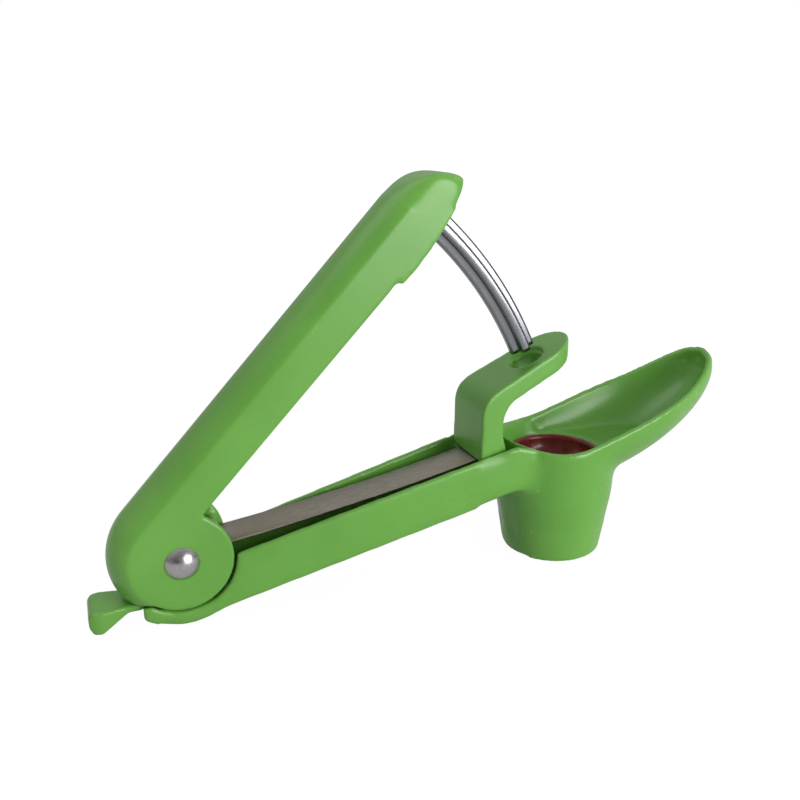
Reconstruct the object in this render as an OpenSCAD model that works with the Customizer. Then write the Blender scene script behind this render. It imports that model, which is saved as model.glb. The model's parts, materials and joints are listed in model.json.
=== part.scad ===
// Hand pitter for olives and cherries. A hinged handle drives a curved rod
// through a guide arm and into a cup that holds the fruit on a soft seat.
// The origin is the middle of the cup's foot, on the table. +X runs from the
// hinge towards the scoop and +Z is up.

/* [Hinge] */
// Distance from the cup's axis back to the hinge pin
reach = 110.2; // [105:0.1:116]
// Height of the hinge pin above the table
hinge_z = 17.8; // [16.6:0.1:20]
// Radius of the hinge pin
pin_r = 2.5; // [1.8:0.1:3]
// Radius of the pin's domed heads
pin_head_r = 4.4; // [3.8:0.1:5]
// Height of the pin's domed heads
pin_head_h = 2.2; // [1.4:0.1:3]
// Radial clearance of the pin in its holes
pin_fit = 0.05; // [0.02:0.01:0.1]
// Clearance between pieces that move past each other
gap = 0.3; // [0.25:0.05:0.5]
// Clearance between pieces that are seated on each other
seat_gap = 0.05; // [0.02:0.01:0.1]

/* [Lower frame] */
// Slope of the lower frame above the table, in degrees
frame_slope = 13.6; // [12:0.1:15]
// Depth of the channel, from its rim to its underside
channel_depth = 14; // [13:0.1:14.4]
// Distance of the channel's rim below the hinge pin
rim_drop = 2.9; // [2:0.1:4]
// Half width of the channel over its walls, at the hinge
channel_half = 8.5; // [8.2:0.1:9.5]
// Widening of each side of the channel from the hinge to the cup
channel_spread = 4.4; // [3.6:0.1:5]
// Thickness of the channel's walls and floor
channel_wall = 1.8; // [1.4:0.1:2.4]
// Running gap between the handle's round ears and the frame
ear_gap = 0.5; // [0.5:0.1:1.4]
// Radius of the two lugs that carry the pin
lug_r = 6; // [5:0.1:6.4]
// Thickness of each of the two lugs
lug_t = 2.5; // [1.8:0.1:2.6]

/* [Cup and scoop] */
// Outer radius of the cup's foot
foot_r = 14.4; // [14.2:0.1:15.6]
// Outer radius of the cup at its rim
cup_r = 17.6; // [17:0.1:18.4]
// Height of the lowest point of the rim
rim_z = 34.4; // [34:0.1:36]
// Wall of the cup and the scoop
cup_wall = 2; // [1.6:0.1:2.4]
// Radius of the outlet for pits in the cup's foot
outlet_r = 12.2; // [9:0.1:12.4]
// Length of the outlet's straight stretch
outlet_len = 4; // [2:0.1:6]
// Length of the scoop from the cup's axis to its lip
scoop_len = 55.4; // [50:0.2:60]
// Slope of the scoop, in degrees
scoop_slope = 20.3; // [18:0.1:22]
// Length of the scoop's rounded nose
nose_len = 40; // [36:0.5:44]

/* [Fruit seat] */
// Height of the seat's upper edge above the table
seat_top = 30; // [29:0.1:31]
// Depth of the seat
seat_depth = 9; // [8:0.1:11]
// Thickness of the seat's wall
seat_wall = 2.2; // [1.6:0.1:3]
// Radius of the hole that the pit is pushed through
seat_hole_r = 6.5; // [6.4:0.1:7]

/* [Guide arm] */
// Distance from the cup's axis back to the arm's post
post_back = 28.8; // [28:0.1:30]
// Thickness of the arm's post and head
arm_t = 5.4; // [4.8:0.1:5.6]
// Height of the arm's post above the hinge pin, to the bend
post_top = 32.6; // [32:0.1:33.4]
// Slope of the arm's head, in degrees
head_slope = 26; // [25:0.1:26.6]
// Half width of the arm's post
arm_half = 9.8; // [9:0.1:9.9]
// Radius of the round end of the arm's head
head_r = 8.6; // [8:0.1:9]
// Radius of the guide hole round the rod
guide_r = 4.3; // [4.3:0.1:4.6]
// Radius of the recess round the guide hole
recess_r = 5.2; // [5:0.1:6]
// Depth of the recess round the guide hole
recess_d = 1.2; // [0.6:0.1:2]

/* [Plunger rod] */
// Distance of the rod's arc short of the cup's axis
rod_inset = 2.3; // [1.9:0.1:2.6]
// Half width of the rod across its ribs
rod_half = 3.6; // [3:0.1:3.7]
// Thickness of the rod's ribs
rib_t = 2.6; // [2:0.1:3.4]
// Angle of the rod's tip above the hinge when the handle is open, in degrees
tip_angle = 24.1; // [23.1:0.1:25]
// Length of the rod's root inside the handle
root_len = 8; // [6:0.1:9]

/* [Handle] */
// Angle of the handle above the table when it is open, in degrees
open_angle = 46; // [45.5:0.1:48]
// Angle that the handle closes through, in degrees
stroke = 24; // [20:0.1:24]
// Radius of the handle's two round ears
ear_r = 13.2; // [12:0.1:13.3]
// Half width over the faces of the ears
ear_half = 8.4; // [7.8:0.1:8.4]
// Thickness of the ears and of the handle's shell
shell = 2; // [1.6:0.1:2.2]
// Length of the handle's nose beyond the rod
nose_past = 13.7; // [12:0.1:14]
// Height of the handle's lower edge above the line from the pin
edge_lift = 4.1; // [3.6:0.1:5]
// Height of the edge between the handle's flat side and its round back
side_lift = 13.9; // [13.4:0.1:15]
// Rise of the handle's rounded back above its flat sides
crown = 4.8; // [3.6:0.1:5.6]
// Distance of the step in the lower edge short of the rod
step_back = 18.9; // [16:0.1:23]
// Depth of the step in the lower edge
step_drop = 1.6; // [0.8:0.1:1.6]

/* [Spring and lock] */
// Thickness of the leaf spring
spring_t = 0.6; // [0.4:0.05:1]
// Half width of the leaf spring
spring_half = 5.6; // [4.5:0.1:5.7]
// Rise of the spring's free end above its clamped end
spring_rise = 5.2; // [4.5:0.1:6]
// Distance of the clamped end below the channel's rim
spring_seat = 2; // [1.4:0.1:2.6]
// Travel of the lock slider
lock_travel = 3.2; // [2.6:0.1:3.2]
// Half width of the lock slider's grip
grip_half = 6.2; // [5:0.1:7]
// Length of the lock slider's grip
grip_len = 7.8; // [7:0.1:10]
// Thickness of the lock slider's grip at its end
grip_t = 6.2; // [4:0.1:6.4]
// Thickness of the lock slider's stem
stem_t = 2; // [1.6:0.1:2.2]
// Half width of the lock slider's stem
stem_half = 2.6; // [2:0.1:2.8]

/* [Screws] */
// Radius of the screws' shanks
screw_r = 1.3; // [1:0.1:1.5]
// Radius of the screws' heads
screw_head_r = 2.4; // [2:0.1:2.6]
// Height of the screws' heads
screw_head_h = 1.4; // [1:0.1:1.6]
// Length of the screws' shanks
screw_len = 8; // [7:0.1:8.6]

/* [Hidden] */
$fn = 96;

// Extra length of what cuts, and how far joined pieces run into each other
over = 1;
bite = 0.5;

// Lower frame
lock_drop = 11;
lip_r = hinge_z;
scallop_r = ear_r + ear_gap;
ear_in = ear_half - shell;
lug_out = ear_in - gap;
lug_in = lug_out - lug_t;
lug_spread = 2;
frame_back = 10.5;
frame_end = reach - cup_r / 2;
bed_back = 9;
bed_z = lock_drop + stem_t + gap;
floor_w = rim_drop + channel_depth;
seat_block = 8;
strap_x = 3;
strap_w = 3;
strap_t = 1.2;

// Cup, seat and scoop
cup_h = 60;
flare_z = 19;
seat_r = 13;
mouth_grow = (cup_r - cup_wall - seat_r) / (rim_z - seat_top);
nose_start = scoop_len - nose_len;
scoop_z = rim_z + 1;
ledge_r = seat_r - 1.2;
rim_from = -18.2;
rim_mid = -5;
rim_turn = 8;
rim_slope = 0.354;
tip_rise = 0.011;
tip_from = 30;
ramp_rise = 2;

// Plunger rod
rod_arc = reach - rod_inset;
root_r = norm([rod_half, rib_t / 2]) + seat_gap;
root_bite = 0.3;

// Handle
handle_len = rod_arc + nose_past;
step_at = rod_arc - step_back;
crown_r = (ear_half * ear_half + crown * crown) / (2 * crown);
crown_mid = ear_r + crown - crown_r;
back_tilt = atan(2 * (side_lift - ear_r) / handle_len);
nose_r = 18.1;
nose_mid = 0.8;
toe_r = 88;
toe_start = step_at + 3;
toe_d = edge_lift - step_drop;
boss_back = 8.5;
boss_from = rod_arc - boss_back;
plan_corner = 6.5;
cam_r = 1.6;
web_turn = 106;
web_half = 3;
root_lift = edge_lift + root_len;
screw_lift = edge_lift + root_len * 2 / 3;

// Arm
post_x = reach - post_back;
post_w = 7.4;
post_flare = 1.4;
post_lean = 0.8;
bend_r = 7.5;
corner_r = 8;
head_mid = rod_arc - 4.4;
// Angle round the pin at which the rod meets the head's upper face
head_pass = 90 + head_slope
  - acos((post_top * cos(head_slope) - post_x * sin(head_slope)) / rod_arc);

// Lock
tooth_h = 2.1;
tooth_front = -7;
tooth_back = -9;
stem_front = 4;
neck_from = -10.2;
grip_from = -14;
grip_taper = 2;
grip_edge = 1;
grip_round = 3.6;
neck_half = 5;
way_end = -5.4;
stud_x = 2;
stud_r = 1;
stud_h = 1;
pin_nose = 1;
sector_from = 234;
sector_end = sector_from + stroke;

// Spring
spring_from = 8.5;
spring_stop = 18.7;
spring_to = reach - spring_stop;
screw_back = 3.2;
screw_side = 4.4;
spring_low = rim_drop + spring_seat + spring_t;
screw_grip = 4.5;
screw_seat = spring_low - spring_t + screw_len - screw_grip;
slot_w = 0.6;
slot_d = 0.8;
slot_share = 0.7;

function frame_half_at(x) = channel_half + channel_spread * x / reach;
function rim_at(x) = rim_z
  + rim_slope * (sqrt(pow(x - rim_mid, 2) + rim_turn * rim_turn) - rim_turn)
  + tip_rise * pow(max(0, x - tip_from), 2);
function spring_at(t) = -spring_low + spring_rise * pow(1 - t, 2);

// Puts what is drawn round the hinge pin in its place
module at_hinge() {
  translate([-reach, 0, hinge_z]) children();
}

// A flat outline in X and Z, made as thick as twice its half width
module side(half) {
  rotate([90, 0, 0]) linear_extrude(height = 2 * half, center = true) children();
}

// A flat outline in X and Z, kept on both sides between two distances from the middle
module both_sides(from, to) {
  for (end = [0, 1]) mirror([0, end, 0])
    translate([0, to, 0]) rotate([90, 0, 0]) linear_extrude(height = to - from) children();
}

module green() { color([0.42, 0.68, 0.3]) children(); }
module steel() { color([0.75, 0.76, 0.78]) children(); }

// ---- Lower frame ----

module channel_plan(inset) {
  polygon([
    [-frame_back * 2, frame_half_at(-frame_back * 2) - inset],
    [frame_end, frame_half_at(frame_end) - inset],
    [frame_end, inset - frame_half_at(frame_end)],
    [-frame_back * 2, inset - frame_half_at(-frame_back * 2)]
  ]);
}

module channel_band(depth) {
  rotate(frame_slope) translate([0, -rim_drop - depth]) square([reach * 1.1, depth]);
}

module channel_outline() {
  intersection() {
    union() {
      channel_band(channel_depth);
      circle(r = lip_r);
    }
    translate([-frame_back, -lip_r]) square([reach * 1.2, reach]);
    union() {
      rotate(frame_slope) translate([0, -reach]) square([reach * 1.1, reach - rim_drop]);
      translate([-frame_back, -lip_r]) square([frame_back * 2, lip_r - lock_drop]);
    }
  }
}

module channel_room() {
  intersection() {
    union() {
      rotate(frame_slope)
        translate([0, -floor_w + channel_wall]) square([reach * 1.1, reach]);
      circle(r = lip_r - channel_wall - gap * 2);
    }
    translate([-frame_back * 2, -lip_r]) square([reach * 1.2, reach]);
  }
}

module lug_outline() {
  circle(r = lug_r);
  intersection() {
    circle(r = lip_r - gap);
    polygon([[-lug_r, 0], [lug_r, 0], [lug_r + lug_spread, -lip_r], [lug_spread / 2 - lug_r, -lip_r]]);
  }
}

module pin_hole(half) {
  side(half) circle(r = pin_r + pin_fit);
}

module cup_outside() {
  rotate_extrude()
    polygon([[0, 0], [foot_r, 0], [cup_r, flare_z], [cup_r, cup_h], [0, cup_h]]);
}

module scoop_body(inset) {
  steps = 20;
  translate([0, 0, scoop_z]) rotate([0, 90 - scoop_slope, 0]) rotate_extrude()
    polygon(concat(
      [[0, inset / 2]],
      [for (i = [0:steps])
        let (t = nose_start + (nose_len - inset) * i / steps)
        [(cup_r - inset) * sqrt(1 - pow(i / steps, 2)), t]]
    ));
  translate([0, 0, scoop_z]) rotate([0, 90 - scoop_slope, 0])
    cylinder(h = nose_start + seat_gap / 5, r = cup_r - inset);
}

module rim_outline() {
  rim_to = scoop_len;
  steps = 24;
  polygon(concat(
    [[rim_to, -over], [-reach * 1.2, -over], [-reach * 1.2, reach], [rim_from, reach]],
    [for (i = [0:steps])
      let (x = rim_from + (rim_to - rim_from) * i / steps) [x, rim_at(x)]]
  ));
}

module lower_frame() green() {
  difference() {
    intersection() {
      union() {
        at_hinge() difference() {
          intersection() {
            side(cup_r) channel_outline();
            translate([0, 0, -reach]) linear_extrude(height = 2 * reach) channel_plan(0);
          }
          both_sides(ear_in - gap / 2, cup_r) circle(r = scallop_r);
          intersection() {
            side(cup_r) channel_room();
            translate([0, 0, -reach])
              linear_extrude(height = 2 * reach) channel_plan(channel_wall);
          }
        }
        at_hinge() frame_inside();
        cup_outside();
        scoop_body(0);
      }
      side(cup_r * 2) rim_outline();
    }
    cup_inside();
    at_hinge() frame_holes();
  }
}

// Lugs, the bed and strap of the lock, and the block that the arm stands on
module frame_inside() {
  both_sides(lug_in, lug_out) lug_outline();
  side(lug_out) intersection() {
    circle(r = lip_r - gap);
    translate([-bed_back, -lip_r]) square([frame_back * 2, lip_r - bed_z]);
  }
  side(lug_in + bite) translate([strap_x, gap - lock_drop]) square([strap_w, strap_t]);
  intersection() {
    side(cup_r) rotate(frame_slope) translate([spring_to - seat_block, gap - floor_w])
      square([seat_block, floor_w - spring_low - gap]);
    translate([0, 0, -reach])
      linear_extrude(height = 2 * reach) channel_plan(channel_wall / 2);
  }
}

module frame_holes() {
  pin_hole(cup_r);
  // Way for the lock's neck through the lip
  side(neck_half + gap * 2) translate([-frame_back * 2, -bed_z])
    square([frame_back * 2 + way_end, bed_z - lock_drop + tooth_h]);
  // Groove that stops the lock's stud at both ends of its travel
  translate([0, 0, -bed_z - stud_h - gap]) linear_extrude(height = stud_h + over)
    for (x = [0, lock_travel]) translate([stud_x + x, 0]) circle(r = stud_r + gap);
  translate([stud_x, -stud_r - gap, -bed_z - stud_h - gap])
    cube([lock_travel, 2 * (stud_r + gap), stud_h + over]);
  at_screws() {
    translate([0, 0, -floor_w * 2])
      cylinder(h = 2 * floor_w - screw_seat, r = screw_head_r + gap);
    translate([0, 0, -floor_w]) cylinder(h = floor_w, r = screw_r + seat_gap);
  }
}

// The two screws that hold the arm and the spring, along the channel's depth
module at_screws() {
  for (y = [-screw_side, screw_side])
    rotate([0, -frame_slope, 0]) translate([spring_to - screw_back, y, 0]) children();
}

module cup_inside() {
  ledge_z = seat_top - seat_depth;
  translate([0, 0, -over]) cylinder(h = outlet_len + over, r = outlet_r);
  translate([0, 0, outlet_len]) cylinder(h = ledge_z - outlet_len, r1 = outlet_r, r2 = ledge_r);
  translate([0, 0, ledge_z]) cylinder(h = seat_depth, r = seat_r + seat_gap);
  translate([0, 0, seat_top])
    cylinder(h = cup_h, r1 = seat_r + seat_gap, r2 = seat_r + seat_gap + cup_h * mouth_grow);
  intersection() {
    scoop_body(cup_wall);
    side(cup_r) polygon([
      [0, seat_top], [seat_r, seat_top], [scoop_len * 0.6, seat_top + ramp_rise],
      [scoop_len * 1.2, seat_top + ramp_rise], [scoop_len * 1.2, cup_h * 2], [0, cup_h * 2]
    ]);
  }
}

module cup_liner() color([0.45, 0.1, 0.1]) {
  bowl_r = seat_r - seat_gap;
  steps = 10;
  translate([0, 0, seat_top - seat_depth]) rotate_extrude() polygon(concat(
    [[seat_hole_r, 0], [bowl_r, 0], [bowl_r, seat_depth], [bowl_r - seat_wall / 3, seat_depth]],
    [for (i = [1:steps])
      let (a = 90 * i / steps)
      [seat_hole_r + (bowl_r - seat_wall / 3 - seat_hole_r) * cos(a),
       seat_depth - (seat_depth - seat_wall) * sin(a)]]
  ));
}

// ---- Guide arm ----

function arc_points(mid, r, from, to, steps) =
  [for (i = [0:steps]) let (a = from + (to - from) * i / steps) mid + r * [cos(a), sin(a)]];

// The arm in side view: foot on the spring, leaning post and sloping head
module arm_outline() {
  foot_w = spring_at((post_x - spring_from) / (spring_to - spring_from)) + spring_t + seat_gap;
  slant = tan(head_slope);
  head_to = reach + arm_half;
  inner_x = post_x + post_w;
  head_h = arm_t / cos(head_slope);
  bend_x = inner_x + bend_r;
  bend_z = post_top + slant * (bend_x - post_x) - head_h - bend_r / cos(head_slope);
  corner_x = post_x + post_lean + corner_r;
  corner_z = post_top + slant * (corner_x - post_x) - corner_r / cos(head_slope);
  intersection() {
    polygon(concat(
      [
        [inner_x + post_flare, 0], [inner_x + post_flare, post_top / 2],
        [inner_x, bend_z - bend_r / 2]
      ],
      arc_points([bend_x, bend_z], bend_r, 180, 90 + head_slope, 8),
      [
        [head_to, post_top + slant * (head_to - post_x) - head_h],
        [head_to, post_top + slant * (head_to - post_x)]
      ],
      arc_points([corner_x, corner_z], corner_r, 90 + head_slope, 180, 8),
      [[post_x, 0]]
    ));
    rotate(frame_slope) translate([0, foot_w]) square([reach * 2, reach]);
  }
}

module guide_arm() green() at_hinge() difference() {
  intersection() {
    side(cup_r) arm_outline();
    linear_extrude(height = reach) {
      polygon([
        [post_x - over, -arm_half], [post_x, -arm_half], [head_mid, seat_gap - head_r],
        [head_mid, head_r - seat_gap], [post_x, arm_half], [post_x - over, arm_half]
      ]);
      translate([head_mid, 0]) circle(r = head_r);
    }
  }
  guide_hole();
  at_screws() translate([0, 0, -floor_w]) cylinder(h = floor_w, r = screw_r + seat_gap);
}

// The hole for the rod, square to the rod's way through the head
module guide_hole() {
  pass = head_pass - asin(arm_t / 2 / rod_arc);
  rotate([0, -pass, 0]) translate([rod_arc, 0, 0])
    cylinder(h = arm_t * 3, r = guide_r, center = true);
  rotate([0, -head_pass, 0]) translate([rod_arc, 0, -recess_d])
    cylinder(h = arm_t * 2, r = recess_r);
}

// ---- Screws ----

module screw(length) {
  cylinder(h = length, r = screw_r);
  difference() {
    translate([0, 0, -screw_head_h]) cylinder(h = screw_head_h, r = screw_head_r);
    for (a = [0, 90]) rotate(a)
      translate([-screw_head_r * slot_share, -slot_w / 2, -screw_head_h - over])
        cube([2 * screw_head_r * slot_share, slot_w, slot_d + over]);
  }
}

module arm_screws() steel() at_hinge() at_screws()
  translate([0, 0, -screw_seat]) screw(screw_len);

// ---- Leaf spring ----

module leaf_spring() color([0.48, 0.48, 0.4]) at_hinge() {
  steps = 24;
  points = [for (i = [0:steps])
    let (t = i / steps) [spring_from + (spring_to - spring_from) * t, spring_at(t)]];
  difference() {
    side(spring_half) rotate(frame_slope) polygon(concat(
      points,
      [for (i = [steps:-1:0]) points[i] + [0, spring_t]]
    ));
    at_screws() cylinder(h = 2 * floor_w, r = screw_r + seat_gap, center = true);
  }
}

// ---- Hinge pin ----

module dome() {
  dome_r = (pin_head_r * pin_head_r + pin_head_h * pin_head_h) / (2 * pin_head_h);
  intersection() {
    translate([0, 0, pin_head_h - dome_r]) sphere(r = dome_r);
    cylinder(h = pin_head_h + over, r = pin_head_r);
  }
}

module pivot_pin() steel() at_hinge() {
  translate([0, -ear_half - gap / 2, 0]) rotate([90, 0, 0]) dome();
  rotate([90, 0, 0])
    translate([0, 0, -ear_half - gap / 2 - pin_nose])
      cylinder(h = 2 * ear_half + gap + pin_nose, r = pin_r);
}

module pin_cap() steel() at_hinge() difference() {
  translate([0, ear_half + gap / 2, 0]) rotate([-90, 0, 0]) dome();
  rotate([-90, 0, 0]) cylinder(h = ear_half + gap / 2 + pin_nose + seat_gap, r = pin_r + seat_gap);
}

// ---- Handle ----

// Half of the handle's section: flat sides under a round crown
module shell_section(inset, low) {
  translate([inset - ear_half, low]) square([2 * (ear_half - inset), ear_r - low]);
  intersection() {
    translate([0, crown_mid]) circle(r = crown_r - inset);
    translate([inset - ear_half, low]) square([2 * (ear_half - inset), ear_r * 2]);
  }
}

// The section turned round the pin, on the far side of it from the bar
module hub_turned(inset) {
  intersection() {
    rotate([90, 0, 0]) rotate_extrude() intersection() {
      rotate(-90) shell_section(inset, 0);
      translate([0, -ear_half]) square([ear_r * 2, 2 * ear_half]);
    }
    side(ear_half) intersection() {
      rotate(open_angle + back_tilt) translate([-ear_r * 2, -ear_r * 2])
        square([ear_r * 2, ear_r * 4]);
      translate([-ear_r * 2, gap - lock_drop]) square([ear_r * 2, ear_r * 4]);
    }
  }
}

module bar_straight(inset) {
  rotate([0, -open_angle - back_tilt, 0]) rotate([90, 0, 90])
    linear_extrude(height = handle_len) shell_section(inset, -shell);
}

// The bar in side view: its lower edge with the step and the toe, and its round nose
module handle_side() {
  rotate(open_angle) intersection() {
    union() {
      translate([-ear_r, edge_lift]) square([ear_r + step_at, ear_r * 2]);
      translate([step_at, toe_d]) square([handle_len - step_at, ear_r * 2]);
    }
    union() {
      translate([-ear_r, 0]) square([ear_r + handle_len - nose_r, ear_r * 2]);
      translate([handle_len - nose_r, nose_mid]) circle(r = nose_r);
    }
    union() {
      translate([-ear_r, 0]) square([ear_r + toe_start, ear_r * 2]);
      translate([toe_start, toe_d + toe_r]) circle(r = toe_r);
    }
  }
}

module bar_outside() {
  intersection() {
    bar_straight(0);
    side(ear_half) handle_side();
    rotate([0, -open_angle, 0]) translate([-over, 0, -ear_r]) linear_extrude(height = ear_r * 4)
      union() {
        translate([0, -ear_half]) square([handle_len + over - plan_corner, 2 * ear_half]);
        translate([0, plan_corner - ear_half])
          square([handle_len + over, 2 * (ear_half - plan_corner)]);
        for (y = [-1, 1])
          translate([handle_len + over - plan_corner, y * (ear_half - plan_corner)])
            circle(r = plan_corner);
      }
  }
}

module bar_room() {
  intersection() {
    bar_straight(shell);
    side(ear_half) rotate(open_angle) translate([-ear_r, -ear_r])
      square([ear_r + boss_from, ear_r * 4]);
  }
}

module lock_sector() {
  difference() {
    circle(r = lock_drop - gap);
    rotate(sector_end) square([ear_r * 2, ear_r * 2]);
    rotate(sector_end + 90) square([ear_r * 2, ear_r * 2]);
    translate([tooth_back - gap, -ear_r * 2])
      square([tooth_front + lock_travel + gap - tooth_back, ear_r * 2 - lock_drop + tooth_h + gap]);
  }
  circle(r = pin_r + shell);
}

module cam_place() {
  rotate(frame_slope)
    translate([
      spring_from + cam_r,
      spring_at(cam_r / (spring_to - spring_from)) + spring_t + gap + cam_r
    ]) circle(r = cam_r);
}

module handle() green() at_hinge() difference() {
  union() {
    difference() {
      union() {
        hub_turned(0);
        bar_outside();
        side(ear_half) circle(r = ear_r);
      }
      hub_turned(shell * 1.1);
      bar_room();
      side(ear_in - seat_gap) circle(r = ear_r + gap);
    }
    side(lug_in - gap) lock_sector();
    side(lug_in - gap) intersection() {
      rotate(open_angle + web_turn) translate([0, -web_half])
        square([ear_r + crown, 2 * web_half]);
      circle(r = ear_r + crown - shell / 2);
    }
    side(ear_in + bite) cam_place();
  }
  pin_hole(ear_half * 2);
  rod_root(seat_gap, root_lift + seat_gap);
  rod_screw_hole();
}

// ---- Plunger rod ----

function lift_angle(lift) = open_angle + asin(lift / rod_arc);

module rod_root(extra, lift) {
  start = open_angle;
  rotate([90, 0, 0]) rotate(start) rotate_extrude(angle = lift_angle(lift) - start)
    translate([rod_arc, 0]) circle(r = root_r + extra);
}

module rod_screw_hole() {
  rotate([0, -open_angle, 0]) translate([boss_from - over, 0, screw_lift]) rotate([0, 90, 0])
    cylinder(h = screw_len + over + gap, r = screw_r + seat_gap);
}

module plunger_rod() steel() at_hinge() difference() {
  union() {
    rotate([90, 0, 0]) rotate(tip_angle) rotate_extrude(angle = lift_angle(edge_lift) - tip_angle)
      translate([rod_arc, 0]) {
        square([2 * rod_half, rib_t], center = true);
        square([rib_t, 2 * rod_half], center = true);
      }
    rotate([90, 0, 0]) rotate(lift_angle(edge_lift) - root_bite)
      rotate_extrude(angle = lift_angle(root_lift) - lift_angle(edge_lift) + root_bite)
      translate([rod_arc, 0]) circle(r = root_r);
  }
  rod_screw_hole();
}

module rod_screw() steel() at_hinge()
  rotate([0, -open_angle, 0]) translate([boss_from, 0, screw_lift]) rotate([0, 90, 0])
    screw(screw_len);

// ---- Lock slider ----

module lock_slider() green() at_hinge() {
  top = -lock_drop;
  grip_end = grip_from - grip_len - grip_taper;
  intersection() {
    side(grip_half) union() {
      polygon([
        [stem_front, top], [stem_front, top - stem_t], [grip_from, top - stem_t],
        [grip_from - grip_len * 0.85, top - grip_t], [grip_end + grip_edge, top - grip_t],
        [grip_end, top - grip_t * 0.7], [grip_end, top - grip_edge], [grip_end + grip_edge, top]
      ]);
    }
    translate([0, 0, -lip_r]) linear_extrude(height = lip_r) {
      translate([neck_from, -stem_half]) square([stem_front - neck_from, 2 * stem_half]);
      polygon([
        [neck_from, neck_half], [grip_from, neck_half],
        [grip_end + grip_round - bite, grip_half], [grip_end + grip_round - bite, -grip_half],
        [grip_from, -neck_half], [neck_from, -neck_half]
      ]);
      translate([grip_end + grip_round, 0]) intersection() {
        circle(r = grip_half);
        translate([-grip_round, -grip_half]) square([grip_round, 2 * grip_half]);
      }
    }
  }
  side(stem_half) translate([tooth_back, top - bite])
    square([tooth_front - tooth_back, tooth_h + bite]);
  translate([stud_x, 0, top - stem_t - stud_h]) cylinder(h = stud_h + bite, r = stud_r);
}

lower_frame();
cup_liner();
guide_arm();
arm_screws();
leaf_spring();
pivot_pin();
pin_cap();
handle();
plunger_rod();
rod_screw();
lock_slider();
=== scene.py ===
import json
import math

import bmesh
import bpy
from mathutils import Matrix, Vector


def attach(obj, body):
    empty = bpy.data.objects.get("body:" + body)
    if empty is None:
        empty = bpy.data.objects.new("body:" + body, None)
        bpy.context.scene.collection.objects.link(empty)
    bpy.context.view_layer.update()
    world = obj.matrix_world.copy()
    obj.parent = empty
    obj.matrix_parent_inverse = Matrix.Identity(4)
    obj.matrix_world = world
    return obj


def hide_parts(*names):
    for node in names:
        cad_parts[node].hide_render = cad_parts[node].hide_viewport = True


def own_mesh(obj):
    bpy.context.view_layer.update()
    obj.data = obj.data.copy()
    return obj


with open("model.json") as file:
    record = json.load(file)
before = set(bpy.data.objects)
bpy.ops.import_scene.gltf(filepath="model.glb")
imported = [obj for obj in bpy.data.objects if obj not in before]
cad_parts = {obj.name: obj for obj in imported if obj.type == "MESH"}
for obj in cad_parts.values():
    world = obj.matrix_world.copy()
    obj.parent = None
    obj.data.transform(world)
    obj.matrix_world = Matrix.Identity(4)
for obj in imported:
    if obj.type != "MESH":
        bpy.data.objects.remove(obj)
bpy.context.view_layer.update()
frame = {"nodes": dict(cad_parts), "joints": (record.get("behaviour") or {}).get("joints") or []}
cadNodes = frame["nodes"]
scene = bpy.context.scene
mm = 0.001
hinge = Vector(next(j["pos_m"] for j in frame["joints"] if j["name"] == "handle_hinge"))
across = Vector((0, 1, 0))
channelTurn = 13.6  # degrees between the channel and the floor
frameSlope = math.radians(channelTurn)
sameSpot = 0.001 * mm  # corners of a CAD mesh that are this close are one point
mergeGap = 0.002 * mm  # and so are points of a new mesh that are this close
print("frame loaded:", len(cadNodes), "nodes")


# Colours and nodes

def linearColour(hexText):
    parts = [int(hexText[i:i + 2], 16) / 255 for i in (1, 3, 5)]
    return tuple(p / 12.92 if p <= 0.04045 else ((p + 0.055) / 1.055) ** 2.4 for p in parts) + (1,)


def addNode(tree, kind, options=None, values=None, links=None, feeds=None):
    node = tree.nodes.new(kind)
    for name, value in (options or {}).items():
        setattr(node, name, value)
    for name, value in (values or {}).items():
        node.inputs[name].default_value = value
    for name, socket in (links or {}).items():
        tree.links.new(socket, node.inputs[name])
    for name, socket in (feeds or {}).items():
        tree.links.new(node.outputs[name], socket)
    return node


def perSize(size):
    return 1 / (size * mm)  # noise scale for a pattern of that many millimetres


def newMaterial(name, values):
    material = bpy.data.materials.new(name)
    material.use_nodes = True
    tree = material.node_tree
    shader = tree.nodes["Principled BSDF"]
    for key, value in values.items():
        shader.inputs[key].default_value = value
    coords = addNode(tree, "ShaderNodeTexCoord")
    return material, tree, shader, coords.outputs["Object"]


noiseSpan = {"From Min": 0.3, "From Max": 0.7}  # nearly all values of a noise texture


# Materials. Every pattern size is in millimetres

# Scuffs and flecks are drawn coarser than real ones, so that they show at all
greenLook = {
    # The third colour is a pale green: it paints a highlight on sharp edges and also makes faint
    # flecks
    "base": "#6fae48", "deep": "#64a33f", "paleFleckAndEdgeHighlight": "#83bd5e",
    "cloud": 22, "handled": 31, "matt": (0.22, 0.34),
    # Edges between these pointiness values get the painted highlight, up to the given share
    "edgeFrom": 0.52, "edgeTo": 0.6, "edgeHighlight": 0.5,
    "fleck": 0.7, "fleckShare": 0.04,
    "scuff": 0.35, "scuffRun": (0.08, 1, 0.6), "scuffFrom": 0.62, "scuffTo": 0.8, "scuffDull": 0.03,
    "peel": 1.1, "peelDetail": 1, "peelHeight": 0.012,
    "shader": {"IOR": 1.5, "Subsurface Weight": 0.06, "Subsurface Scale": 0.002,
               "Subsurface Radius": (0.6, 1.0, 0.3)}}


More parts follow.
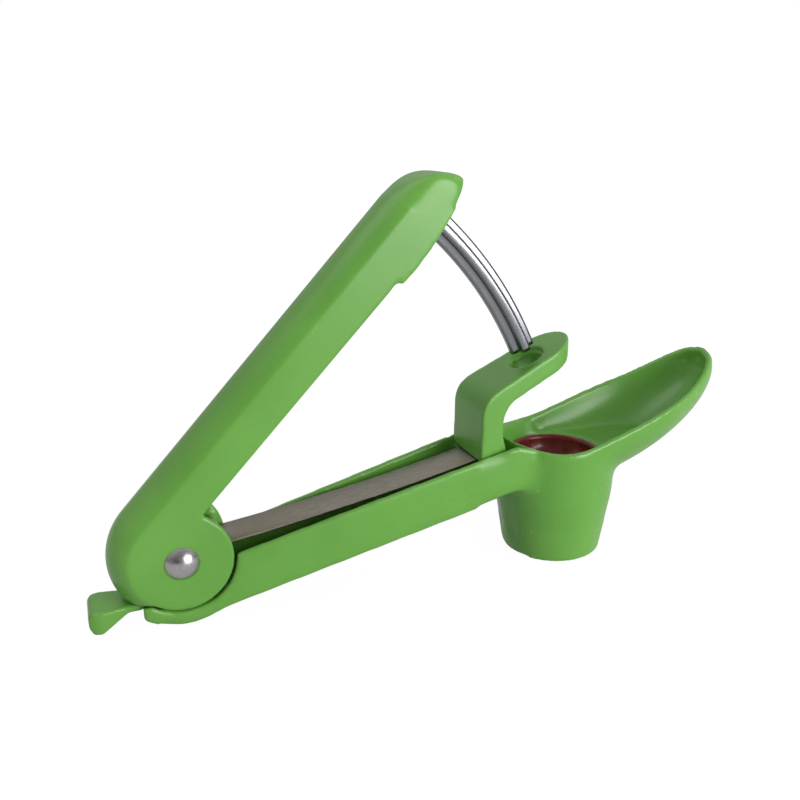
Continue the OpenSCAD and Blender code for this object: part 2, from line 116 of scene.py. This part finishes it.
def mouldedAbs():
    # Glossy injection-moulded ABS: an even strong green with a faint orange peel,
    # a painted highlight that makes the sharp edges paler, faint pale flecks, softer gloss where it
    # is handled and fine scuffs along the tool
    look = greenLook
    material, tree, shader, coords = newMaterial("moulded_green_abs", look["shader"])
    paleFleckAndEdgeHighlight = linearColour(look["paleFleckAndEdgeHighlight"])
    cloud = addNode(tree, "ShaderNodeTexNoise", None, {"Scale": perSize(look["cloud"])},
                    {"Vector": coords})
    tone = addNode(tree, "ShaderNodeMapRange", None, noiseSpan, {"Value": cloud.outputs[0]})
    body = addNode(tree, "ShaderNodeMix", {"data_type": "RGBA"},
                   {6: linearColour(look["deep"]), 7: linearColour(look["base"])},
                   {0: tone.outputs[0]})
    # Painted highlight: the sharpest edges, found by pointiness, take part of the pale green
    edge = addNode(tree, "ShaderNodeNewGeometry").outputs["Pointiness"]
    edgeHighlightShare = addNode(tree, "ShaderNodeMapRange", None,
                  {"From Min": look["edgeFrom"], "From Max": look["edgeTo"],
                   "To Max": look["edgeHighlight"]}, {"Value": edge})
    edgeHighlighted = addNode(tree, "ShaderNodeMix", {"data_type": "RGBA"}, {7: paleFleckAndEdgeHighlight},
                    {0: edgeHighlightShare.outputs[0], 6: body.outputs[2]})
    fleck = addNode(tree, "ShaderNodeTexNoise", None, {"Scale": perSize(look["fleck"])},
                    {"Vector": coords})
    faint = addNode(tree, "ShaderNodeMapRange", None, {**noiseSpan, "To Max": look["fleckShare"]},
                    {"Value": fleck.outputs[0]})
    # The same pale green again, in faint random flecks
    addNode(tree, "ShaderNodeMix", {"data_type": "RGBA"}, {7: paleFleckAndEdgeHighlight},
            {0: faint.outputs[0], 6: edgeHighlighted.outputs[2]}, {2: shader.inputs["Base Color"]})
    handled = addNode(tree, "ShaderNodeTexNoise", None, {"Scale": perSize(look["handled"])},
                      {"Vector": coords})
    gloss = addNode(tree, "ShaderNodeMapRange", None,
                    {**noiseSpan, "To Min": look["matt"][0], "To Max": look["matt"][1]},
                    {"Value": handled.outputs[0]})
    drawn = addNode(tree, "ShaderNodeMapping", None, {"Scale": look["scuffRun"]},
                    {"Vector": coords})
    scuff = addNode(tree, "ShaderNodeTexNoise", None, {"Scale": perSize(look["scuff"])},
                    {"Vector": drawn.outputs[0]})
    dull = addNode(tree, "ShaderNodeMapRange", None,
                   {"From Min": look["scuffFrom"], "From Max": look["scuffTo"],
                    "To Max": look["scuffDull"]}, {"Value": scuff.outputs[0]})
    addNode(tree, "ShaderNodeMath", {"operation": "ADD"}, None,
            {0: gloss.outputs[0], 1: dull.outputs[0]}, {0: shader.inputs["Roughness"]})
    peel = addNode(tree, "ShaderNodeTexNoise", None,
                   {"Scale": perSize(look["peel"]), "Detail": look["peelDetail"]},
                   {"Vector": coords})
    addNode(tree, "ShaderNodeBump", None, {"Distance": look["peelHeight"] * mm},
            {"Height": peel.outputs[0]}, {0: shader.inputs["Normal"]})
    return material


siliconeLook = {
    "deep": "#6d1a1c", "base": "#82242a", "flow": 5, "flowDetail": 3,
    "dust": 2.5, "dustDetail": 4, "skin": 0.8, "skinHeight": 0.02, "matt": (0.22, 0.38),
    "shader": {"IOR": 1.41, "Coat Weight": 0.3, "Coat Roughness": 0.12, "Subsurface Weight": 0.1,
               "Subsurface Scale": 0.002, "Subsurface Radius": (1.0, 0.2, 0.15)}}


def redSilicone():
    # Moulded silicone rubber: deep red and wet-looking, with faint flow marks and dust
    look = siliconeLook
    material, tree, shader, coords = newMaterial("moulded_red_silicone", look["shader"])
    flow = addNode(tree, "ShaderNodeTexNoise", None,
                   {"Scale": perSize(look["flow"]), "Detail": look["flowDetail"]},
                   {"Vector": coords})
    tone = addNode(tree, "ShaderNodeMapRange", None, noiseSpan, {"Value": flow.outputs[0]})
    addNode(tree, "ShaderNodeMix", {"data_type": "RGBA"},
            {6: linearColour(look["deep"]), 7: linearColour(look["base"])},
            {0: tone.outputs[0]}, {2: shader.inputs["Base Color"]})
    dust = addNode(tree, "ShaderNodeTexNoise", None,
                   {"Scale": perSize(look["dust"]), "Detail": look["dustDetail"]},
                   {"Vector": coords})
    addNode(tree, "ShaderNodeMapRange", None,
            {**noiseSpan, "To Min": look["matt"][0], "To Max": look["matt"][1]},
            {"Value": dust.outputs[0]}, {0: shader.inputs["Roughness"]})
    skin = addNode(tree, "ShaderNodeTexNoise", None, {"Scale": perSize(look["skin"])},
                   {"Vector": coords})
    addNode(tree, "ShaderNodeBump", None, {"Distance": look["skinHeight"] * mm},
            {"Height": skin.outputs[0]}, {0: shader.inputs["Normal"]})
    return material


metalLines = {"Detail": 3, "Roughness": 0.62}
metalClouds = {"Detail": 3}
tintSpan = {"From Min": 0.35, "From Max": 0.65, "To Max": 0.5}  # the tint takes half at most


# Bare metal: darker, duller lines along the way that the steel was worked, under soft clouds
def workedMetal(name, look, way):
    material, tree, shader, coords = newMaterial(name, {"Metallic": 1.0})
    lines = addNode(tree, "ShaderNodeTexNoise", None,
                    {"Scale": perSize(look["line"]), **metalLines}, {"Vector": way(tree, coords)})
    depth = addNode(tree, "ShaderNodeMapRange", None, noiseSpan, {"Value": lines.outputs[0]})
    cloud = addNode(tree, "ShaderNodeTexNoise", None,
                    {"Scale": perSize(look["cloud"]), **metalClouds}, {"Vector": coords})
    tint = addNode(tree, "ShaderNodeMapRange", None, tintSpan, {"Value": cloud.outputs[0]})
    body = addNode(tree, "ShaderNodeMix", {"data_type": "RGBA"},
                   {6: linearColour(look["deep"]), 7: linearColour(look["base"])},
                   {0: depth.outputs[0]})
    addNode(tree, "ShaderNodeMix", {"data_type": "RGBA"}, {7: linearColour(look["tint"])},
            {0: tint.outputs[0], 6: body.outputs[2]}, {2: shader.inputs["Base Color"]})
    haze = addNode(tree, "ShaderNodeMapRange", None,
                   {**noiseSpan, "To Min": look["matt"][0], "To Max": look["matt"][1]},
                   {"Value": cloud.outputs[0]})
    addNode(tree, "ShaderNodeMath", {"operation": "MULTIPLY_ADD"}, {1: look["lineMatt"]},
            {0: depth.outputs[0], 2: haze.outputs[0]}, {0: shader.inputs["Roughness"]})
    addNode(tree, "ShaderNodeBump", None, {"Distance": look["height"] * mm},
            {"Height": lines.outputs[0]}, {0: shader.inputs["Normal"]})
    return material


def plainCoords(tree, coords):
    return coords


stripRun = (0.03, 1, 1)  # draws a pattern out along the channel


def stripCoords(tree, coords):
    return addNode(tree, "ShaderNodeMapping", None,
                   {"Rotation": (0, frameSlope, 0), "Scale": stripRun},
                   {"Vector": coords}).outputs[0]


# Arcs round the hinge: (distance from the pin, across, nothing)
def arcCoords(tree, coords):
    moved = addNode(tree, "ShaderNodeMapping", None, {"Location": -hinge}, {"Vector": coords})
    flat = addNode(tree, "ShaderNodeVectorMath", {"operation": "MULTIPLY"}, {1: (1, 0, 1)},
                   {0: moved.outputs[0]})
    away = addNode(tree, "ShaderNodeVectorMath", {"operation": "LENGTH"}, None,
                   {0: flat.outputs[0]})
    split = addNode(tree, "ShaderNodeSeparateXYZ", None, None, {0: moved.outputs[0]})
    return addNode(tree, "ShaderNodeCombineXYZ", None, None,
                   {"X": away.outputs["Value"], "Y": split.outputs["Y"]}).outputs[0]


# The lines of all four metals are drawn coarser than real tool marks, so that they show.
# Rolled spring steel: a dull warm grey with rolling lines along the strip
springMetal = {"base": "#a19d92", "deep": "#7b776c", "tint": "#958a78", "line": 0.5,
               "cloud": 16, "matt": (0.3, 0.4), "lineMatt": 0.08, "height": 0.012}
# Chromed drawn steel: bright and sharp, with drawing lines that follow the rod's arc
rodMetal = {"base": "#a0a1a5", "deep": "#76797e", "tint": "#8f9095", "line": 0.35,
            "cloud": 4, "matt": (0.12, 0.2), "lineMatt": 0.05, "height": 0.006}
# Turned bright steel: pale, with faint rings round the pin's middle
pinMetal = {"base": "#cbc7ca", "deep": "#b0abae", "tint": "#bdb9bb", "line": 0.3,
            "cloud": 1.6, "matt": (0.2, 0.32), "lineMatt": 0.05, "height": 0.008}
# Zinc-plated steel: pale with a faint yellow cast and a fine even grain
screwMetal = {"base": "#cfcdbf", "deep": "#b3b1a4", "tint": "#c2bfa6", "line": 0.5,
              "cloud": 1.2, "matt": (0.25, 0.42), "lineMatt": 0.03, "height": 0.01}

greenAbs = mouldedAbs()
silicone = redSilicone()
springSteel = workedMetal("rolled_spring_steel", springMetal, stripCoords)
rodSteel = workedMetal("chromed_drawn_steel", rodMetal, arcCoords)
pinSteel = workedMetal("bright_turned_steel", pinMetal, arcCoords)
screwSteel = workedMetal("zinc_plated_steel", screwMetal, plainCoords)
print("materials made")


# Pieces. Every size is in millimetres and every angle in degrees

def placePiece(name, mesh, material, body, node):
    mesh.materials.clear()
    mesh.materials.append(material)
    mesh.shade_smooth()
    piece = bpy.data.objects.new(name, mesh)
    scene.collection.objects.link(piece)
    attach(piece, body)
    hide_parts(node)
    return piece


def meshOf(bm, name):
    bmesh.ops.remove_doubles(bm, verts=bm.verts, dist=mergeGap)
    bmesh.ops.recalc_face_normals(bm, faces=bm.faces)
    mesh = bpy.data.meshes.new(name)
    bm.to_mesh(mesh)
    bm.free()
    return mesh


def placeOnLine(point, degrees):
    # (along a line from the pin that rises by so many degrees, across, above the line)
    local = (point - hinge) / mm
    tilt = math.radians(degrees)
    c, s = math.cos(tilt), math.sin(tilt)
    return Vector((local.x * c + local.z * s, local.y, local.z * c - local.x * s))


def within(value, span):
    return span[0] < value < span[1]


def soften(bm, verts, rounds):
    for step in range(rounds):
        bmesh.ops.smooth_vert(bm, verts=verts, factor=0.5, use_axis_x=True,
                              use_axis_y=True, use_axis_z=True)


def applied(mesh, name, kind, **settings):
    helper = bpy.data.objects.new(name, mesh)
    scene.collection.objects.link(helper)
    modifier = helper.modifiers.new(name, kind)
    for key, value in settings.items():
        setattr(modifier, key, value)
    bpy.context.view_layer.update()
    depsgraph = bpy.context.evaluated_depsgraph_get()
    shaped = bpy.data.meshes.new_from_object(helper.evaluated_get(depsgraph))
    bpy.data.objects.remove(helper)
    return shaped


# A moulded copy of a solid: its skin is remade with even faces and its edges are softened
def mouldedPiece(node, name, look, softer=()):
    turn = Matrix.Rotation(math.radians(look["turn"]), 4, "Y")  # lays long edges along the grid
    source = cadNodes[node].data.copy()
    bm = bmesh.new()
    bm.from_mesh(source)
    bmesh.ops.remove_doubles(bm, verts=bm.verts, dist=sameSpot)
    bm.transform(turn)
    bm.to_mesh(source)
    bm.free()
    remade = applied(source, "skin", "REMESH", mode="VOXEL",
                     voxel_size=look["cell"] * mm * 1)
    bm = bmesh.new()
    bm.from_mesh(remade)
    bm.transform(turn.inverted())
    soften(bm, bm.verts, look["rounds"])
    for choose, rounds in softer:
        bm.normal_update()
        soften(bm, [v for v in bm.verts if choose(v)], rounds)
    bm.to_mesh(remade)
    bm.free()
    if "share" in look:
        remade = applied(remade, "thinning", "DECIMATE", ratio=look["share"])
    remade.name = name
    placePiece(name, remade, greenAbs, look["body"], node)
    print(name, len(remade.polygons), "faces")


# Underside and edgeHeight: how far the channel's foot lies under the line from the pin,
# and how high over it the lower edges are rounded. The rim starts level and then rises
frameLook = {
    "body": "base", "turn": channelTurn, "cell": 0.42, "rounds": 12, "share": 0.6,
    "underside": 16.9, "edgeHeight": 3, "edgeAlong": (-16, 92), "edgeRounds": 40,
    "rimLow": 34.4, "rimMid": -5, "rimTurn": 8, "rimSlope": 0.354,
    "shoulderAlong": (-30, 16), "shoulderOver": 9, "shoulderUnderRim": 2, "shoulderAside": 3,
    "shoulderFacing": -0.05, "blendRounds": 120,
    "troughAlong": (5, 50), "troughUnderRim": 1.5, "troughFacing": 0.1, "troughRounds": 60}


def belowRim(point):
    x, y, z = point / mm
    turn = frameLook["rimTurn"]
    rise = frameLook["rimSlope"] * (math.hypot(x - frameLook["rimMid"], turn) - turn)
    return frameLook["rimLow"] + rise - z


def underChannel(vert):
    place = placeOnLine(vert.co, frameLook["turn"])
    low = place.z < frameLook["edgeHeight"] - frameLook["underside"]
    return low and within(place.x, frameLook["edgeAlong"])


def cupShoulder(vert):
    # Outer skin where the channel's walls, the cup and the scoop run into each other
    x, y, z = vert.co / mm
    outward = vert.normal.y * math.copysign(1, y)
    return (within(x, frameLook["shoulderAlong"]) and z > frameLook["shoulderOver"]
            and belowRim(vert.co) > frameLook["shoulderUnderRim"]
            and abs(y) > frameLook["shoulderAside"] and outward > frameLook["shoulderFacing"])


def troughFloor(vert):
    return (within(vert.co.x / mm, frameLook["troughAlong"])
            and belowRim(vert.co) > frameLook["troughUnderRim"]
            and vert.normal.z > frameLook["troughFacing"])


mouldedPiece("lower_frame", "lower_frame_skin", frameLook, [
    (underChannel, frameLook["edgeRounds"]), (cupShoulder, frameLook["blendRounds"]),
    (troughFloor, frameLook["troughRounds"])])

# stepAlong and noseFrom are distances from the pin along the open handle
handleLook = {"body": "handle", "turn": 46, "cell": 0.38, "rounds": 12,
              "stepAlong": (86.5, 93), "stepHeight": 5, "stepRounds": 12,
              "noseFrom": 104, "noseRounds": 70}


def toeStep(vert):
    place = placeOnLine(vert.co, handleLook["turn"])
    return within(place.x, handleLook["stepAlong"]) and place.z < handleLook["stepHeight"]


def noseEnd(vert):
    place = placeOnLine(vert.co, handleLook["turn"])
    return place.x > handleLook["noseFrom"] and place.z > handleLook["stepHeight"]


mouldedPiece("handle", "handle_skin", handleLook, [
    (toeStep, handleLook["stepRounds"]), (noseEnd, handleLook["noseRounds"])])

armLook = {"body": "base", "turn": 0, "cell": 0.3, "rounds": 14}
mouldedPiece("guide_arm", "guide_arm_skin", armLook)

lockLook = {"body": "lock", "turn": 0, "cell": 0.25, "rounds": 26}
mouldedPiece("lock_slider", "lock_slider_skin", lockLook)


# A cross of four ribs, bent on an arc round the pin from the tip's angle to the root's,
# with a round root in the handle's bore
rodLook = {"arc": 107.9, "half": 3.6, "rib": 2.6, "tip": 24.1, "root": 52.3, "steps": 56,
           "corner": 0.8, "cornerSteps": 4, "valley": 0.5, "valleySteps": 2,
           "bore": 3.8, "boreFrom": 49.5, "boreSides": 32, "boreSteps": 6}


def plungerRod():
    look = rodLook
    side = look["rib"] / 2
    bm = bmesh.new()
    bmesh.ops.create_grid(bm, x_segments=3, y_segments=3, size=1)
    for vert in bm.verts:
        for i in (0, 1):  # outer lines go to the ribs' tips, inner lines to their sides
            limit = look["half"] if abs(vert.co[i]) > 0.5 else side
            vert.co[i] = math.copysign(limit * mm, vert.co[i])
    middles = {f: f.calc_center_median() for f in bm.faces}
    bmesh.ops.delete(bm, context="FACES", geom=[  # the grid's four corners
        f for f, at in middles.items() if min(abs(at.x), abs(at.y)) > side * mm])
    bmesh.ops.dissolve_faces(bm, faces=bm.faces[:])
    outer = [v for v in bm.verts if v.co.length > look["rib"] * mm]
    inner = [v for v in bm.verts if v not in outer]
    for corners, size, segments in ((outer, look["corner"], look["cornerSteps"]),
                                    (inner, look["valley"], look["valleySteps"])):
        bmesh.ops.bevel(bm, geom=corners, offset=size * mm, offset_type="OFFSET",
                        segments=segments, profile=0.5, affect="VERTICES", material=-1)
    ring = bmesh.ops.create_circle(bm, cap_ends=True, segments=look["boreSides"],
                                   radius=look["bore"] * mm)["verts"]
    cross = [v for v in bm.verts if v not in ring]
    for verts, start, steps in ((cross, look["tip"], look["steps"]),
                                (ring, look["boreFrom"], look["boreSteps"])):
        bmesh.ops.translate(bm, verts=verts, vec=Vector((look["arc"] * mm, 0, 0)))
        bmesh.ops.rotate(bm, verts=verts, cent=(0, 0, 0),
                         matrix=Matrix.Rotation(-math.radians(start), 3, "Y"))
        faces = list({f for v in verts for f in v.link_faces})
        edges = list({e for f in faces for e in f.edges})
        bmesh.ops.spin(bm, geom=verts + edges + faces, cent=(0, 0, 0), axis=across,
                       angle=-math.radians(look["root"] - start), steps=steps,
                       use_duplicate=False)
    bmesh.ops.holes_fill(bm, edges=[e for e in bm.edges if e.is_boundary], sides=0)
    bmesh.ops.translate(bm, verts=bm.verts, vec=hinge)
    return meshOf(bm, "plunger_rod_skin")


placePiece("plunger_rod_skin", plungerRod(), rodSteel, "handle", "plunger_rod")
print("rod made")


# Hole and bowl are radii. The chamfer, the step inside the lip and the rise of the hole's
# edge are shares of the lip and of the wall
linerLook = {"hole": 6.5, "bowl": 12.95, "low": 21, "high": 30, "wall": 2.2, "lip": 0.9,
             "chamfer": 0.4, "lipStep": 0.3, "holeEdge": 0.7, "bowlSteps": 8, "sides": 96}


def cupLiner():
    hole, bowl, low, high, wall, lip = (
        linerLook[key] * mm for key in ("hole", "bowl", "low", "high", "wall", "lip"))
    chamfer = lip * linerLook["chamfer"]
    middle = hole + lip * linerLook["lipStep"]
    outline = [(hole, low), (bowl, low), (bowl, high - chamfer), (bowl - chamfer, high),
               (bowl - lip, high)]
    for i in range(1, linerLook["bowlSteps"] + 1):
        turn = math.radians(90 * i / linerLook["bowlSteps"])
        outline.append((middle + (bowl - lip - middle) * math.cos(turn),
                        high - (high - low - wall) * math.sin(turn)))
    outline.append((hole, low + wall * linerLook["holeEdge"]))
    bm = bmesh.new()
    verts = [bm.verts.new((r, 0, z)) for r, z in outline]
    edges = [bm.edges.new((verts[i], verts[(i + 1) % len(verts)])) for i in range(len(verts))]
    bmesh.ops.spin(bm, geom=verts + edges, cent=(0, 0, 0), axis=(0, 0, 1), angle=math.tau,
                   steps=linerLook["sides"], use_merge=True, use_duplicate=False)
    return meshOf(bm, "cup_liner_skin")


placePiece("cup_liner_skin", cupLiner(), silicone, "base", "cup_liner")
print("liner made")


# Faces within flatTo of each other become one, and edges over sharpFrom are rounded.
# The clamp is so far along the channel and over the line from the pin
springLook = {"edge": 0.12, "edgeSteps": 2, "flatTo": 0.4, "sharpFrom": 50,
              "clamp": (91.5, -5.5), "keep": 0.2}


def leafSpring():
    bm = bmesh.new()
    bm.from_mesh(cadNodes["leaf_spring"].data)
    bmesh.ops.remove_doubles(bm, verts=bm.verts, dist=sameSpot)
    bmesh.ops.dissolve_limit(bm, angle_limit=math.radians(springLook["flatTo"]),
                             verts=bm.verts, edges=bm.edges)
    sharp = [e for e in bm.edges if len(e.link_faces) == 2
             and e.calc_face_angle() > math.radians(springLook["sharpFrom"])]
    bmesh.ops.bevel(bm, geom=sharp, offset=springLook["edge"] * mm, offset_type="OFFSET",
                    segments=springLook["edgeSteps"], profile=0.5, affect="EDGES",
                    material=-1, clamp_overlap=True)
    return meshOf(bm, "leaf_spring_skin")


spring = placePiece("leaf_spring_skin", leafSpring(), springSteel, "base", "leaf_spring")
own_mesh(spring)
print("spring made")

for name, material in (("pivot_pin", pinSteel), ("pin_cap", pinSteel),
                       ("arm_screws", screwSteel), ("rod_screw", screwSteel)):
    for slot in cadNodes[name].material_slots:
        slot.material = material
print("pin and screws finished")


# Floor, light and camera

# Fade is in metres from the middle of the floor: the paper shows its shadow nearby and
# turns plain white further off. Half is half the floor's side
paperLook = {"base": "#c4c4c4", "pale": "#cccccc", "tooth": 1.5, "white": 1.08,
             "fade": (0.12, 0.5), "whiteSeen": (0.9, 1), "whiteInGloss": 0.3,
             "half": 3, "drop": 0.02, "shader": {"Roughness": 0.9, "Specular IOR Level": 0.1}}


def whitePaper():
    # Matt white studio paper with a faint tooth
    look = paperLook
    material, tree, shader, coords = newMaterial("white_studio_paper", look["shader"])
    tooth = addNode(tree, "ShaderNodeTexNoise", None, {"Scale": perSize(look["tooth"])},
                    {"Vector": coords})
    addNode(tree, "ShaderNodeMix", {"data_type": "RGBA"},
            {6: linearColour(look["base"]), 7: linearColour(look["pale"])},
            {0: tooth.outputs[0]}, {2: shader.inputs["Base Color"]})
    glow = addNode(tree, "ShaderNodeEmission", None, {"Strength": look["white"]})
    away = addNode(tree, "ShaderNodeVectorMath", {"operation": "LENGTH"}, None, {0: coords})
    fade = addNode(tree, "ShaderNodeMapRange", None,
                   {"From Min": look["fade"][0], "From Max": look["fade"][1],
                    "To Min": look["whiteSeen"][0], "To Max": look["whiteSeen"][1]},
                   {"Value": away.outputs["Value"]})
    path = addNode(tree, "ShaderNodeLightPath").outputs
    seen = addNode(tree, "ShaderNodeMath", {"operation": "MULTIPLY"}, None,
                   {0: path["Is Camera Ray"], 1: fade.outputs[0]})
    share = addNode(tree, "ShaderNodeMath", {"operation": "MULTIPLY_ADD"},
                    {1: look["whiteInGloss"]},
                    {0: path["Is Glossy Ray"], 2: seen.outputs[0]})
    addNode(tree, "ShaderNodeMixShader", None, None,
            {0: share.outputs[0], 1: shader.outputs[0], 2: glow.outputs[0]},
            {0: tree.nodes["Material Output"].inputs["Surface"]})
    return material


def studioFloor():
    bm = bmesh.new()
    bmesh.ops.create_grid(bm, x_segments=1, y_segments=1, size=paperLook["half"])
    bmesh.ops.translate(bm, verts=bm.verts, vec=(0, 0, -paperLook["drop"] * mm))
    floor = bpy.data.objects.new("studio_floor", meshOf(bm, "studio_floor"))
    floor.data.materials.append(whitePaper())
    scene.collection.objects.link(floor)


# Gloss brightens while a direction's upward part goes through rise and its backward part
# through front
roomLook = {"light": 0.45, "gloss": (0.25, 0.75), "rise": (-0.1, 0.7), "front": (-0.75, 0.1)}


def studioWorld():
    look = roomLook
    world = bpy.data.worlds.new("studio_white")
    scene.world = world
    world.use_nodes = True
    tree = world.node_tree
    back = tree.nodes["Background"]
    path = addNode(tree, "ShaderNodeLightPath").outputs
    seen = addNode(tree, "ShaderNodeMath", {"operation": "MAXIMUM"}, None,
                   {0: path["Is Camera Ray"], 1: path["Is Transmission Ray"]})
    # What gloss sees: a pale room above and behind, dim low down and in front
    way = addNode(tree, "ShaderNodeTexCoord").outputs["Generated"]
    split = addNode(tree, "ShaderNodeSeparateXYZ", None, None, {0: way})
    high = addNode(tree, "ShaderNodeMapRange", None,
                   {"From Min": look["rise"][0], "From Max": look["rise"][1],
                    "To Min": look["gloss"][0], "To Max": look["gloss"][1]},
                   {"Value": split.outputs["Z"]})
    front = addNode(tree, "ShaderNodeMapRange", None,
                    {"From Min": look["front"][0], "From Max": look["front"][1],
                     "To Min": look["gloss"][0]}, {"Value": split.outputs["Y"]})
    room = addNode(tree, "ShaderNodeMath", {"operation": "MULTIPLY"}, None,
                   {0: high.outputs[0], 1: front.outputs[0]})
    glossy = addNode(tree, "ShaderNodeMix", {"data_type": "FLOAT"}, {2: look["light"]},
                     {0: path["Is Glossy Ray"], 3: room.outputs[0]})
    level = addNode(tree, "ShaderNodeMath", {"operation": "MAXIMUM"}, None,
                    {0: seen.outputs[0], 1: glossy.outputs[0]})
    back.inputs["Color"].default_value = (1, 1, 1, 1)
    tree.links.new(level.outputs[0], back.inputs["Strength"])


# Lamps: power in watts, places and sizes in metres
lampAim = (-0.05, 0, 0.04)
lamps = {"key_light": {"power": 3.2, "place": (0.26, -0.56, 0.18), "size": 0.4},
         "top_light": {"power": 0.45, "place": (-0.3, 0.1, 0.6), "size": 0.35}}


def softLamp(name, power, place, size):
    lamp = bpy.data.lights.new(name, "AREA")
    lamp.energy = power
    lamp.size = size
    holder = bpy.data.objects.new(name, lamp)
    holder.location = place
    aim = Vector(lampAim) - Vector(place)
    holder.rotation_euler = aim.to_track_quat("-Z", "Y").to_euler()
    scene.collection.objects.link(holder)


studioFloor()
studioWorld()
for name, lamp in lamps.items():
    softLamp(name, **lamp)

# Distance, target and nearest are in millimetres, as are the lens and its sensor
view = {"turn": -20.29, "lift": 17.61, "distance": 238.8, "target": (-48.4, -0.1, 51),
        "lens": 39.636, "sensor": 36, "roll": -0.7, "nearest": 10}


def photoCamera():
    turn, lift = math.radians(view["turn"]), math.radians(view["lift"])
    back = Vector((math.sin(turn) * math.cos(lift), -math.cos(turn) * math.cos(lift),
                   math.sin(lift)))
    right = Vector((math.cos(turn), math.sin(turn), 0))
    tilt = Matrix.Rotation(math.radians(view["roll"]), 3, back)
    up = tilt @ back.cross(right)
    right = tilt @ right
    lens = bpy.data.cameras.new("photo_camera")
    lens.lens, lens.sensor_width = view["lens"], view["sensor"]
    lens.clip_start = view["nearest"] * mm
    camera = bpy.data.objects.new("photo_camera", lens)
    place = Matrix((right, up, back)).transposed().to_4x4()
    place.translation = (Vector(view["target"]) + back * view["distance"]) * mm
    camera.matrix_world = place
    scene.collection.objects.link(camera)
    scene.camera = camera


photoCamera()
scene.view_settings.view_transform = "Standard"
print("studio set")
